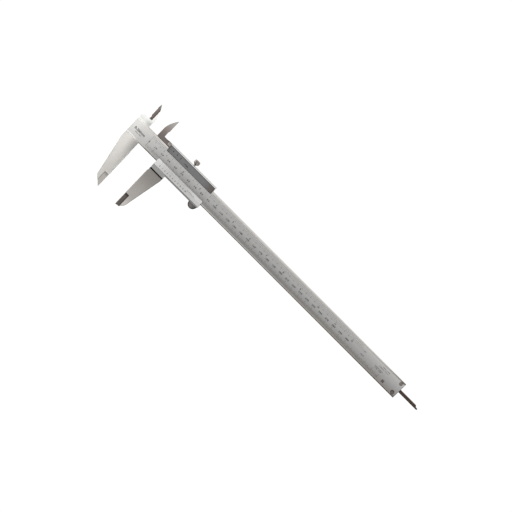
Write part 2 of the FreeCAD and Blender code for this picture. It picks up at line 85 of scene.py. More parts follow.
MARK_PROUD = 0.012            # how far the marks' fillings stand out of the face
MARK_SUNK = 0.05              # and how far they reach into it
LINE = 0.18                   # width of a graduation line
LONG_LINE = 0.24              # width of a centimetre's line
VERNIER_LINE = 0.13           # width of a vernier's line, and of the line at the main scale's zero
LINE_MARGIN = 0.15            # lines stop this far from the edges of the beam's graduated strip
VERNIER_MARGIN = 0.05         # and this far from the vernier faces' free edges

# corners of a six-sided box: four below, then the four above them
BOX_FACES = ((3, 2, 1, 0), (4, 5, 6, 7), (0, 1, 5, 4), (1, 2, 6, 5), (2, 3, 7, 6), (3, 0, 4, 7))


# ---- materials ----------------------------------------------------------------------------------

class Paint:
    """A node material under construction. Positions are in millimetres."""

    def __init__(self, name, metallic=1.0):
        self.material = bpy.data.materials.new(name)
        self.material.use_nodes = True
        self.tree = self.material.node_tree
        self.shader = self.tree.nodes["Principled BSDF"]
        self.shader.inputs["Metallic"].default_value = metallic
        place = self.node("ShaderNodeTexCoord").outputs["Object"]
        self.place = self.vector("MULTIPLY", place, (1 / MM, 1 / MM, 1 / MM))
        split = self.node("ShaderNodeSeparateXYZ", Vector=self.place)
        self.x, self.y, self.z = split.outputs

    def put(self, socket, value):
        if isinstance(value, bpy.types.NodeSocket):
            self.tree.links.new(value, socket)
        else:
            socket.default_value = value

    def node(self, kind, **inputs):
        made = self.tree.nodes.new(kind)
        for name, value in inputs.items():
            self.put(made.inputs[name.replace("_", " ")], value)
        return made

    def vector(self, operation, a, b):
        made = self.node("ShaderNodeVectorMath")
        made.operation = operation
        self.put(made.inputs[0], a)
        self.put(made.inputs[1], b)
        return made.outputs["Vector"]

    def maths(self, operation, a, b=0.0):
        made = self.node("ShaderNodeMath")
        made.operation = operation
        self.put(made.inputs[0], a)
        self.put(made.inputs[1], b)
        return made.outputs[0]

    def joined(self, operation, values):
        result = values[0]
        for value in values[1:]:
            result = self.maths(operation, result, value)
        return result

    def total(self, *terms):
        return self.joined("ADD", terms)

    def product(self, *factors):
        return self.joined("MULTIPLY", factors)

    def most(self, *masks):
        return self.joined("MAXIMUM", masks)

    def outside(self, mask):
        return self.maths("SUBTRACT", 1.0, mask)

    def blend(self, share, a, b):
        """The number a where share is 0, and b where it is 1."""
        return self.maths("ADD", a, self.product(share, self.maths("SUBTRACT", b, a)))

    def scale(self, colour, factor):
        """A colour, brighter or darker by a factor."""
        grey = self.node("ShaderNodeCombineColor", Red=factor, Green=factor, Blue=factor)
        return self.mix(1.0, colour, grey.outputs[0], "MULTIPLY")

    def ramp(self, value, low, high, from_value=0.0, to_value=1.0):
        """Smooth change of value from low to high."""
        made = self.node("ShaderNodeMapRange")
        made.interpolation_type = "SMOOTHSTEP"
        self.put(made.inputs["Value"], value)
        made.inputs["From Min"].default_value = low
        made.inputs["From Max"].default_value = high
        made.inputs["To Min"].default_value = from_value
        made.inputs["To Max"].default_value = to_value
        return made.outputs["Result"]

    def steps(self, value, first, *changes):
        """The number first, with smooth changes (from, to, change) along value."""
        return self.total(first, *(self.ramp(value, low, high, 0.0, change)
                                   for low, high, change in changes))

    def between(self, value, low, high, soft=0.1):
        """1 between low and high, 0 outside."""
        rise = self.ramp(value, low - soft, low + soft)
        fall = self.ramp(value, high - soft, high + soft, 1.0, 0.0)
        return self.maths("MULTIPLY", rise, fall)

    def distance(self, x, y):
        """Distance from the line along Z through (x, y)."""
        dx = self.maths("SUBTRACT", self.x, x)
        dy = self.maths("SUBTRACT", self.y, y)
        return self.maths("SQRT", self.total(self.product(dx, dx), self.product(dy, dy)))

    def mix(self, share, a, b, blend="MIX"):
        made = self.node("ShaderNodeMix")
        made.data_type = "RGBA"
        made.blend_type = blend
        self.put(made.inputs[0], share)
        for socket, value in ((made.inputs[6], a), (made.inputs[7], b)):
            self.put(socket, value if isinstance(value, bpy.types.NodeSocket) else (*value, 1.0))
        return made.outputs[2]

    def noise(self, grain, detail=3.0, rough=0.5):
        """Noise whose features are about grain millimetres along X, Y and Z."""
        at = self.vector("DIVIDE", self.place, grain)
        made = self.node("ShaderNodeTexNoise", Vector=at, Scale=1.0, Detail=detail, Roughness=rough)
        return made.outputs["Fac"]

    def finish(self, colour, roughness, heights, depth):
        """Sets colour and roughness, and a bump from (height, weight) pairs depth mm high."""
        self.put(self.shader.inputs["Base Color"], colour)
        self.put(self.shader.inputs["Roughness"], roughness)
        height = self.total(*(self.product(height, weight) for height, weight in heights))
        bump = self.node("ShaderNodeBump", Height=height)
        bump.inputs["Strength"].default_value = 1.0
        bump.inputs["Distance"].default_value = depth * MM
        self.put(self.shader.inputs["Normal"], bump.outputs["Normal"])
        return self.material


def steel(name, colour, roughness, along="x", grain=0.12, depth=0.004, mottle=0.03, areas=()):
    """Ground or satin steel. along is the way its grinding lines run. areas repaint places."""
    paint = Paint(name)
    long, fine = 14.0, grain
    size = {"x": (long, fine, fine), "y": (fine, long, fine), "z": (fine, fine, long)}[along]
    lines = paint.noise(size, 4.0, 0.6)
    cloud = paint.noise((9.0, 7.0, 7.0), 3.0)
    speck = paint.noise((0.35, 0.35, 0.35), 2.0)
    base, rough = colour, roughness
    for area in areas:
        base, rough = area(paint, base, rough)
    tone = paint.total(paint.ramp(cloud, 0.3, 0.7, 1.0 - mottle, 1.0 + mottle * 0.5),
                       paint.ramp(lines, 0.3, 0.7, -0.03, 0.03))
    base = paint.scale(base, tone)
    rough = paint.total(paint.ramp(speck, 0.35, 0.65, -0.03, 0.03),
                        paint.ramp(cloud, 0.3, 0.7, 0.03, -0.03), rough)
    return paint.finish(base, rough, [(lines, 0.7), (speck, 0.3)], depth)


def region(mask, colour=None, roughness=None):
    """An area that a mask function picks, with its own colour and roughness."""
    def apply(paint, base, rough):
        share = mask(paint)
        if colour is not None:
            base = paint.mix(share, base, colour)
        if roughness is not None:
            rough = paint.blend(share, rough, roughness)
        return base, rough
    return apply


def tint(mask, colour):
    """An area whose colour is multiplied by another."""
    def apply(paint, base, rough):
        return paint.mix(mask(paint), base, colour, "MULTIPLY"), rough
    return apply


def shade(factor, mask=None):
    """Painted light and shade: a brightness that changes smoothly with place, on the whole piece or
    where a mask is 1.
    """
    def apply(paint, base, rough):
        amount = factor(paint)
        if mask is not None:
            amount = paint.blend(mask(paint), 1.0, amount)
        return paint.scale(base, amount), rough
    return apply


# The functions below are of two kinds. A mask, named on_..., is 1 on one area of a piece and 0
# elsewhere. A shade, named ..._shade, is a factor of the piece's brightness: painted light and shade.

# ---- the beam's areas ---------------------------------------------------------------------------

def on_beam(paint):
    """The beam itself, without its head block and jaws."""
    return paint.between(paint.y, -BEAM_HALF - 0.1, BEAM_HALF + 0.1, 0.05)


def on_rails(paint):
    """The two ground rails beside the graduated strip."""
    rails = paint.total(paint.ramp(paint.y, SCALE_LOW_Y - 0.3, SCALE_LOW_Y - 1.5),
                        paint.ramp(paint.y, SCALE_HIGH_Y - 0.03, SCALE_HIGH_Y + 0.03))
    return paint.product(on_beam(paint), rails)


def on_metric_edge(paint):
    """The metric edge towards the tail."""
    return paint.product(paint.ramp(paint.y, -4.8, -6.8), paint.ramp(paint.x, 190.0, 235.0),
                         on_beam(paint))


def on_tail_edges(paint):
    """Dark brownish edges and corners at the tail, and its end."""
    edges = paint.total(paint.ramp(paint.y, 8.9, 9.5), paint.ramp(paint.y, -8.9, -9.7))
    dark_edges = paint.product(edges, paint.ramp(paint.x, 345.0, TAIL_X - 0.5))
    above_screw = paint.product(paint.ramp(paint.y, 7.4, 8.6), paint.ramp(paint.x, 378.0, 381.0),
                                paint.ramp(paint.x, 384.2, 383.4))
    low_corner = paint.product(paint.ramp(paint.y, -7.4, -8.4), paint.ramp(paint.x, 382.5, 384.2))
    return paint.most(dark_edges, above_screw, paint.ramp(paint.x, TAIL_X - 0.4, TAIL_X - 0.25), low_corner)


def on_grime(paint):
    """Painted shade on the tail's upper corner and round the lower stop screw, standing in for the
    shadow of the screw's recess.
    """
    corner = paint.product(paint.ramp(paint.y, 8.9, 9.5), paint.ramp(paint.x, 383.2, 384.4))
    reach = paint.distance(STOP_SCREW_X - 0.45, 0.7 - STOP_SCREW_Y)
    return paint.most(corner, paint.ramp(reach, 2.5, 1.9))


def on_fixed_jaw(paint):
    return paint.ramp(paint.y, -BEAM_HALF - 0.3, -BEAM_HALF + 0.1, 1.0, 0.0)


def on_head_block(paint):
    return paint.ramp(paint.y, BEAM_HALF - 0.1, BEAM_HALF + 0.3)


def on_jaw_seam(paint):
    """The narrow slope between the beam and its fixed jaw, and the jaw's measuring face, painted
    nearly white as a painted highlight.
    """
    seam = paint.product(paint.between(paint.y, -BEAM_HALF - 0.1, -BEAM_HALF + 0.85, 0.1),
                         paint.ramp(paint.x, -3.5, -8.0))
    face = paint.product(paint.ramp(paint.x, -0.47, -0.42), paint.ramp(paint.x, 1.0, 0.5),
                         paint.ramp(paint.y, -BEAM_HALF - 0.3, -BEAM_HALF - 0.8))
    return paint.total(seam, face)


def across_beam_shade(paint):
    """Painted light and shade: the beam's chrome is painted darker towards its metric edge, and
    brighter at the head.
    """
    across = paint.ramp(paint.y, -10.0, 9.5, -0.36, 0.12)
    share = paint.ramp(paint.x, -5.0, 80.0, 0.35, 1.0)
    return paint.product(paint.total(1.0, paint.product(across, share, on_beam(paint))),
                         paint.ramp(paint.x, 22.0, -17.0, 1.0, 1.20))


def along_beam_shade(paint):
    """Painted light and shade along the beam: darker among the scales' lines and at the slider's end
    at rest, as its shadow, and brighter at the head, by the jaws and towards the tail.
    """
    factor = paint.steps(paint.x, 0.955, (-15.0, 0.0, -0.135), (12.0, 26.0, -0.055),
                         (60.0, 100.0, 0.055), (100.0, 380.0, 0.17))
    inch_lines = paint.product(paint.between(paint.y, 3.1, 5.0, 0.9),
                               paint.ramp(paint.x, 334.0, 330.0), paint.ramp(paint.x, 94.0, 98.0))
    metric_lines = paint.product(paint.between(paint.y, -5.6, -2.8, 0.7),
                                 paint.between(paint.x, 7.0, 90.0, 4.0))
    tail_edge = paint.product(paint.ramp(paint.y, 6.0, 7.6), paint.ramp(paint.x, 285.0, 330.0))
    head_edge = paint.product(paint.between(paint.y, 6.0, 7.6, 0.5),
                              paint.between(paint.x, 12.0, 28.0, 3.0))
    slider_end = paint.between(paint.x, 88.0, SLIDER_X[1], 2.0)
    return paint.product(factor, paint.blend(inch_lines, 1.0, 0.90),
                         paint.blend(tail_edge, 1.0, 1.07), paint.blend(metric_lines, 1.0, 0.95),
                         paint.blend(head_edge, 1.0, 1.14), paint.blend(slider_end, 1.0, 0.94))


def rails_shade(paint):
    """Painted light and shade: the metric rail is painted brightest in mid-beam, and both rails darker
    at the tail.
    """
    low = paint.steps(paint.x, 0.81, (25.0, 95.0, 0.81), (165.0, 245.0, -0.31),
                      (250.0, 400.0, -0.42), (-1.0, -12.0, 0.51), (30.0, 20.0, 0.12))
    low = paint.total(low, paint.product(paint.between(paint.x, 9.0, 17.0, 4.0), -0.26))
    high = paint.steps(paint.x, 1.16, (150.0, 390.0, -0.40), (26.0, 10.0, -0.17),
                       (-10.0, -15.0, 0.16))
    return paint.blend(paint.ramp(paint.y, -1.0, 1.0), low, high)


def blade_shadow_shade(paint):
    """Painted shadow and highlight: along the movable blade's bar at rest, the beam's side wall is
    painted dark and its rim bright.
    """
    wall = paint.product(paint.ramp(paint.z, 3.6, 3.3),
                         paint.between(paint.y, BEAM_HALF - 0.1, BEAM_HALF + 0.15, 0.04))
    rim = paint.product(paint.ramp(paint.z, 3.3, 3.5),
                        paint.between(paint.y, BEAM_HALF - 0.9, BEAM_HALF - 0.2, 0.1))
    factor = paint.product(paint.blend(wall, 1.0, 0.12), paint.blend(rim, 1.0, 1.40))
    return paint.blend(paint.between(paint.x, 7.0, 28.0, 1.0), 1.0, factor)


def head_block_shade(paint):
    """Painted shade: the head block is painted darker along its middle and at the foot of the fixed
    blade.
    """
    foot = paint.ramp(paint.x, -13.0, -5.0, 1.0, 0.66)
    foot = paint.blend(paint.ramp(paint.y, 18.5, 13.5), 1.0, foot)
    middle = paint.blend(paint.between(paint.y, 11.6, 14.0, 1.2), 1.04, 0.93)
    return paint.product(foot, middle)


def fixed_jaw_shade(paint):
    """Painted shade: the fixed jaw is painted darker next to its measuring edge, most of all at its
    root, and towards its tip, with a lighter lip at the carbide.
    """
    root = paint.ramp(paint.y, -43.0, -15.0, 0.11, 0.52)
    near = paint.ramp(paint.x, -12.5, 0.5)
    edge = paint.product(paint.ramp(paint.x, -4.5, -1.0), paint.between(paint.y, -44.0, -27.0, 5.0))
    lip = paint.product(paint.between(paint.y, CARBIDE_TOP_Y, CARBIDE_TOP_Y + 2.0, 0.3),
                        paint.ramp(paint.x, -5.6, -5.0))
    return paint.product(paint.outside(paint.product(root, near)),
                         paint.ramp(paint.y, -22.0, -48.0, 1.0, 0.88),
                         paint.blend(edge, 1.0, 0.90), paint.blend(lip, 1.0, 1.15))


# ---- the slider's areas -------------------------------------------------------------------------

def on_low_vernier(paint):
    (edge, _), (crest, _) = LOW_FACE
    return paint.product(paint.between(paint.y, crest + 0.05, edge + 0.05, 0.08),
                         paint.ramp(paint.z, SLIDER_FACE_Z - 0.1, SLIDER_FACE_Z + 0.1),
                         paint.ramp(paint.x, SLIDER_X[0] - 0.3, SLIDER_X[0]))


def on_high_vernier(paint):
    (edge, _), (crest, _) = HIGH_FACE
    return paint.product(paint.between(paint.y, edge - 0.1, crest + 0.12, 0.05),
                         paint.ramp(paint.z, SLIDER_FACE_Z - 0.1, SLIDER_FACE_Z + 0.1),
                         paint.ramp(paint.x, SLIDER_X[0] - 0.3, SLIDER_X[0] - 0.1))


def on_high_vernier_end(paint):
    """The far end of the dark vernier face, painted darker still: painted shade."""
    return paint.product(paint.ramp(paint.x, 80.0, 93.5), on_high_vernier(paint), 0.8)


def on_step(paint):
    """The slope from the jaw's root down to the jaw."""
    top, foot = JAW_ROOT_Y
    return paint.product(paint.between(paint.y, foot - 0.35, top - 0.1, 0.05),
                         paint.ramp(paint.x, 45.9, 45.7))


def on_moving_jaw(paint):
    foot = JAW_ROOT_Y[1]
    return paint.ramp(paint.y, foot, foot + 0.2, 1.0, 0.0)


def on_braze(paint):
    """The thin dark braze line behind the movable jaw's carbide."""
    return paint.product(paint.between(paint.x, MOVING_CARBIDE_X - 0.1, MOVING_CARBIDE_X + 0.25, 0.06),
                         paint.between(paint.y, -74.2, CARBIDE_TOP_Y + 0.1, 0.1))


def on_moving_blade(paint):
    """The movable inside jaw and its bar, without the ramp up to the slider."""
    flat = paint.ramp(paint.z, BLADE_FRONT_Z + 0.05, BLADE_FRONT_Z + 0.35, 1.0, 0.0)
    before_slider = paint.ramp(paint.x, SLIDER_X[0] - 0.3, SLIDER_X[0], 1.0, 0.0)
    foot = paint.product(paint.ramp(paint.x, 23.1, 23.5), paint.ramp(paint.y, 11.1, 11.3))
    return paint.product(flat, before_slider, paint.ramp(paint.y, BEAM_HALF, BEAM_HALF + 0.1),
                         paint.outside(foot))


def on_blade_tip(paint):
    return paint.ramp(paint.y, 22.0, 34.0)


def on_moving_tip(paint):
    return paint.product(on_moving_blade(paint), on_blade_tip(paint))


def on_blade_ramp(paint):
    """The brownish ramp from the movable blade's bar up to the slider."""
    return paint.product(paint.ramp(paint.y, BEAM_HALF + 0.05, BEAM_HALF + 0.15),
                         paint.ramp(paint.x, SLIDER_X[0] - 0.1, SLIDER_X[0] - 0.25),
                         paint.ramp(paint.z, BLADE_FRONT_Z + 0.05, BLADE_FRONT_Z + 0.35))


def low_vernier_shade(paint):
    """Painted light and shade: the lower vernier face is painted darkest in its middle, and lighter
    towards its ends, along its crest and by its free edge near the jaw.
    """
    below = paint.product(paint.ramp(paint.y, -8.5, -10.5),
                          paint.ramp(paint.x, 66.0, 84.0, -0.04, -0.11))
    edge = paint.product(paint.ramp(paint.y, -8.0, -6.6), paint.ramp(paint.x, 70.0, 50.0, -0.03, 0.06))
    crest = paint.product(paint.ramp(paint.y, -11.4, -12.4),
                          paint.between(paint.x, 48.0, 77.0, 8.0), 0.07)
    return paint.total(paint.steps(paint.x, 0.91, (29.0, 46.0, -0.16), (62.0, 94.0, 0.16)),
                       below, edge, crest)


def high_vernier_shade(paint):
    """Painted shade: the upper vernier face is painted dark along its outline and on its end wall, and
    darker towards the jaw.
    """
    inner = paint.product(paint.between(paint.y, 6.8, 13.4, 0.3),
                          paint.ramp(paint.x, SLIDER_X[0] + 0.3, SLIDER_X[0] + 1.2),
                          paint.ramp(paint.x, SLIDER_X[1] - 0.1, SLIDER_X[1] - 1.0))
    return paint.product(paint.blend(inner, 0.43, 0.92), paint.ramp(paint.x, 36.0, 28.5, 1.0, 0.80))


def slopes_shade(paint):
    """Painted light: the slopes beyond the two crests are painted brighter, most of all under the
    thumb and by the lock screw.
    """
    low = paint.product(paint.between(paint.y, JAW_ROOT_Y[0], LOW_FACE[1][0] - 0.1, 0.1),
                        paint.steps(paint.x, 0.05, (45.0, 47.0, 0.25), (81.0, 84.0, -0.24)))
    thumb = paint.product(paint.between(paint.x, THUMB_X - 4.5, THUMB_X + 4.5, 0.8),
                          paint.ramp(paint.y, -13.2, -13.9), paint.ramp(paint.z, 4.2, 4.6),
                          paint.ramp(paint.y, -13.8, -14.4, -0.08, 0.42))
    screw = paint.product(paint.between(paint.x, LOCK_X - 2.8, LOCK_X + 2.8, 1.2), 0.2)
    high = paint.product(paint.ramp(paint.y, HIGH_FACE[1][0], HIGH_FACE[1][0] + 0.2),
                         paint.total(paint.ramp(paint.x, 27.6, 31.0, 0.06, 0.20), screw))
    front = paint.product(paint.ramp(paint.z, SLIDER_FACE_Z - 0.1, SLIDER_FACE_Z + 0.3),
                          paint.ramp(paint.x, SLIDER_X[0] - 0.3, SLIDER_X[0]))
    return paint.total(1.0, paint.product(paint.total(low, thumb, high), front))


def moving_jaw_shade(paint):
    """Painted light and shade: the movable jaw is painted brighter towards its tip and along its
    measuring edge, and darker under its step, as its shadow.
    """
    tip = paint.steps(paint.y, 0.86, (-18.0, -58.0, 0.60), (-56.0, -69.0, 0.58))
    edge = paint.ramp(paint.x, READING + 1.4, READING + 0.4, 1.0, 1.25)
    step = paint.ramp(paint.y, JAW_ROOT_Y[1] - 1.3, JAW_ROOT_Y[1], 1.0, 0.55)
    return paint.product(tip, edge, step)


# Painted shade: the blade's ramp is painted darker towards its top.
def blade_ramp_shade(paint):
    return paint.ramp(paint.y, 13.0, 14.2, 1.0, 0.80)


def moving_blade_shade(paint):
    """Painted light and shade: the movable blade is painted lighter towards its tip, and darkest on
    the bar's top by its ramp.
    """
    top = paint.product(paint.between(paint.x, 19.3, 22.6, 0.5),
                        paint.ramp(paint.y, 13.3, 14.4), -0.55)
    return paint.total(1.0, paint.ramp(paint.y, 12.0, 37.0, 0.0, 1.45), top)


# ---- the small pieces' areas --------------------------------------------------------------------

def on_inside_land(paint):
    """The narrow land along the carbide's measuring edge and at its root, painted nearly white: partly
    its polish, partly a painted highlight.
    """
    edge = paint.product(paint.ramp(paint.x, FIXED_EDGE_X + 0.45, FIXED_EDGE_X + 0.25),
                         paint.between(paint.y, 21.5, 32.0, 0.6))
    root = paint.product(paint.ramp(paint.x, FIXED_EDGE_X + 1.05, FIXED_EDGE_X + 0.95),
                         paint.between(paint.y, 18.3, 21.2, 0.2))
    return paint.most(edge, root)


def on_inside_tip(paint):
    return paint.ramp(paint.y, 31.0, 38.0)


def on_thumb_face(paint):
    """The flat front of the thumb rest, inside its rim."""
    return paint.ramp(paint.distance(THUMB_X, THUMB_Y), 3.9, 4.6, 1.0, 0.0)


def inside_carbide_shade(paint):
    """Painted light and shade: the fixed blade's carbide is painted brighter along its middle and
    towards its tip, and darkest at its root.
    """
    middle = paint.between(paint.x, -10.2, -7.9, 0.5)
    return paint.product(paint.ramp(paint.y, 17.5, 22.0, 0.6, 1.05), paint.blend(middle, 0.60, 1.12),
                         paint.ramp(paint.y, 25.0, 31.0, 0.93, 1.15))


# Painted light: the movable blade's carbide is painted lighter towards its tip.
def blade_carbide_shade(paint):
    return paint.ramp(paint.y, 12.0, 37.0, 1.0, 2.45)


# Painted shade: the fixed jaw's carbide is painted darker at its root, beside the step.
def fixed_carbide_shade(paint):
    return paint.ramp(paint.y, -61.5, -59.5, 1.0, 0.8)


def moving_carbide_shade(paint):
    """Painted light and shade: the carbide tip is painted lightest along its measuring edge, as a
    highlight, and darker at its back and root.
    """
    edge = paint.ramp(paint.x, READING + 0.5, READING + 0.3, 0.0, 3.2)
    back = paint.blend(paint.ramp(paint.x, READING + 3.4, READING + 4.4), 0.81, 0.55)
    root = paint.ramp(paint.y, -61.5, -59.0, 1.0, 0.52)
    end = paint.ramp(paint.y, -70.0, -73.0, 1.0, 1.08)
    return paint.total(paint.product(back, root, end), edge)


# Painted light: the upper stop screw is painted lighter than the lower one.
def stop_screws_shade(paint):
    return paint.ramp(paint.y, -7.0, 7.0, 0.95, 1.35)


def bar_shade(paint):
    """Painted shade: the depth bar is painted dark along its lower side and at its notched end."""
    return paint.product(paint.ramp(paint.y, -0.5, -1.3, 1.0, 0.27),
                         paint.ramp(paint.x, BAR_END_X - 4.1, BAR_END_X - 3.1, 1.0, 0.6))


def knurled_shade(paint):
    """Painted light and shade: the lock screw is painted dark on its neck and along the middle of its
    drum, and lighter on the drum's sides.
    """
    neck = paint.ramp(paint.y, 18.8, 17.2, 1.0, 0.48)
    collar = paint.ramp(paint.y, 16.3, 15.8, 0.0, 0.9)
    middle = paint.maths("SUBTRACT", paint.x, LOCK_X + 0.6)
    side = paint.ramp(paint.maths("ABSOLUTE", middle), 0.6, 2.4)
    return paint.product(paint.total(neck, collar), paint.blend(side, 0.84, 1.25))


def thumb_shade(paint):
    """Painted shade: the thumb rest is painted darker on its far side."""
    return paint.ramp(paint.x, THUMB_X - 0.05, THUMB_X + 3.15, 1.0, 0.70)


# ---- one material for each kind of piece --------------------------------------------------------

BLADE = (0.200, 0.173, 0.159)         # the movable inside jaw and its carbide
BLADE_TIP = (0.200, 0.193, 0.185)
beam_steel = steel("beam_steel", (0.727, 0.718, 0.700), 0.36, areas=[
    # The rails are lighter than the graduated strip: partly their ground finish, partly painted light.
    region(on_rails, (0.785, 0.75, 0.705), 0.30),
    shade(across_beam_shade),
    shade(along_beam_shade, on_beam),
    shade(rails_shade, on_rails),
    tint(on_metric_edge, (0.995, 0.952, 0.917)),
    region(on_tail_edges, (0.26, 0.22, 0.19)),
    # painted shade on the tail's corner and round the lower stop screw
    region(on_grime, (0.13, 0.11, 0.10)),
    shade(blade_shadow_shade),
    # The fixed jaw is lighter than the beam: partly its ground finish, partly painted light.
    region(on_fixed_jaw, (0.81, 0.785, 0.745), 0.30),
    shade(fixed_jaw_shade, on_fixed_jaw),
    # The head block is painted nearly white, brighter than the beam: painted highlight.
    region(on_head_block, (0.965, 0.96, 0.93), 0.30),
    shade(head_block_shade, on_head_block),
    # painted highlight: the seam and the fixed jaw's measuring face are painted nearly white
    region(on_jaw_seam, (1.0, 0.99, 0.96), 0.8),
])
slider_steel = steel("slider_steel", (0.74, 0.735, 0.72), 0.34, areas=[
    region(on_moving_jaw, (0.350, 0.330, 0.310), 0.30),
    shade(moving_jaw_shade, on_moving_jaw),
    region(on_braze, (0.07, 0.06, 0.05)),
    # The slope at the jaw's root is painted nearly black: painted shade.
    region(on_step, (0.035, 0.032, 0.03), 0.45),
    # The upper vernier face, and its far end still more, are painted darker than the slider: painted
    # shade.
    region(on_high_vernier, (0.475, 0.47, 0.475)),
    region(on_high_vernier_end, (0.30, 0.265, 0.245)),
    shade(high_vernier_shade, on_high_vernier),
    shade(low_vernier_shade, on_low_vernier),
    shade(slopes_shade),
    # The blade's ramp is painted darker and brownish: painted shade.
    region(on_blade_ramp, (0.73, 0.68, 0.64)),
    shade(blade_ramp_shade, on_blade_ramp),
    region(on_moving_blade, BLADE, 0.32),
    region(on_moving_tip, BLADE_TIP),
    shade(moving_blade_shade, on_moving_blade),
])
ground = steel("ground_steel", (0.58, 0.57, 0.555), 0.30, along="y")
screws = steel("small_screws", (0.50, 0.49, 0.475), 0.28, along="z")
black = steel("black_screws", (0.25, 0.225, 0.21), 0.38, areas=[shade(stop_screws_shade)])
carbide = steel("carbide", (0.185, 0.162, 0.15), 0.34, grain=0.3, depth=0.002,
                areas=[shade(moving_carbide_shade)])
inside_carbide = steel("inside_carbide", (0.15, 0.122, 0.11), 0.34, grain=0.3, depth=0.002, areas=[
    region(on_inside_tip, (0.23, 0.226, 0.222)),
    shade(inside_carbide_shade),
    region(on_inside_land, (0.93, 0.92, 0.90), 0.25),
])
blade_carbide = steel("blade_carbide", BLADE, 0.34, grain=0.3, depth=0.002, areas=[
    region(on_blade_tip, BLADE_TIP),
    shade(blade_carbide_shade),
])
fixed_carbide = steel("fixed_carbide", (0.52, 0.50, 0.475), 0.30, grain=0.3, depth=0.002,
                      areas=[shade(fixed_carbide_shade)])
# The depth bar's dark brown is partly its own colour and partly a painted reflection of dark
# surroundings.
bar = steel("bar_steel", (0.178, 0.131, 0.106), 0.30, areas=[shade(bar_shade)])
bronze = steel("bronze", (0.62, 0.42, 0.22), 0.30)
brass = steel("brass", (0.70, 0.52, 0.24), 0.28, along="y")
knurled = steel("knurled_steel", (0.42, 0.38, 0.35), 0.40, along="y", mottle=0.12,
                areas=[shade(knurled_shade)])
dark = steel("dark_steel", (0.085, 0.078, 0.074), 0.42, areas=[
    region(on_thumb_face, (0.215, 0.198, 0.188), 0.36),
    shade(thumb_shade),
])
materials = {
    "main_beam": beam_steel,
    "slider_body": slider_steel,
    "fixed_outside_carbide": fixed_carbide,
    "fixed_inside_carbide": inside_carbide,
    "movable_outside_carbide": carbide,
    "movable_inside_carbide": blade_carbide,
    "tail_stop_plate": ground,
    "tail_stop_screws": black,
    "slider_back_cover": ground,
    "back_cover_screws": screws,
    "gib_strip": bronze,
    "gib_set_screws": screws,
    "lock_screw": knurled,
    "lock_shoe": brass,
    "thumb_rest": dark,
    "thumb_rest_pins": screws,
    "depth_bar": bar,
    "depth_bar_anchor": bar,
    "depth_bar_anchor_screws": screws,
    "depth_bar_pin": screws,
}
for node, material in materials.items():
    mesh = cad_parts[node].data
    mesh.materials.clear()
    mesh.materials.append(material)


def ink(name, dark, light):
    """Filling of engraved marks."""
    paint = Paint(name, 0.0)
    grain = paint.noise((0.25, 0.25, 0.25), 2.0)
    colour = paint.mix(paint.ramp(grain, 0.35, 0.65), dark, light)
    return paint.finish(colour, paint.ramp(grain, 0.3, 0.7, 0.45, 0.65), [(grain, 1.0)], 0.003)


INK = ink("mark_filling", (0.012, 0.012, 0.013), (0.035, 0.034, 0.033))
ETCHED = ink("etched_grey", (0.12, 0.105, 0.10), (0.17, 0.15, 0.14))


# ---- meshes -------------------------------------------------------------------------------------

def add_piece(name, body, corners, faces, material, smooth=False):
    """A new piece from corners in millimetres, riding on a CAD body."""
    mesh = bpy.data.meshes.new(name)
    mesh.from_pydata([Vector(c) * MM for c in corners], [], faces)
    mesh.materials.append(material)
    mesh.polygons.foreach_set("use_smooth", [smooth] * len(mesh.polygons))
    mesh.update()
    piece = bpy.data.objects.new(name, mesh)
    scene.collection.objects.link(piece)
    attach(piece, body)
    return piece


LETTERS = {}


def lettering(words, bold=0.035, spacing=1.0):
    """Corners and faces of a line of text in the XY plane."""
    key = words, bold, spacing
    if key not in LETTERS:
        curve = bpy.data.curves.new("lettering", "FONT")
        curve.body = words
        curve.resolution_u = 3
        curve.extrude = 1.0
        curve.offset = bold
        curve.space_character = spacing
        holder = bpy.data.objects.new("lettering", curve)
        scene.collection.objects.link(holder)
        bpy.context.view_layer.update()
        mesh = holder.to_mesh()
        work = bmesh.new()
        work.from_mesh(mesh)
        bmesh.ops.remove_doubles(work, verts=work.verts, dist=1e-4)
        corners = [v.co.copy() for v in work.verts]
        faces = [[v.index for v in f.verts] for f in work.faces]
        work.free()
        bpy.data.objects.remove(holder)
        bpy.data.curves.remove(curve)
        LETTERS[key] = corners, faces
    return LETTERS[key]


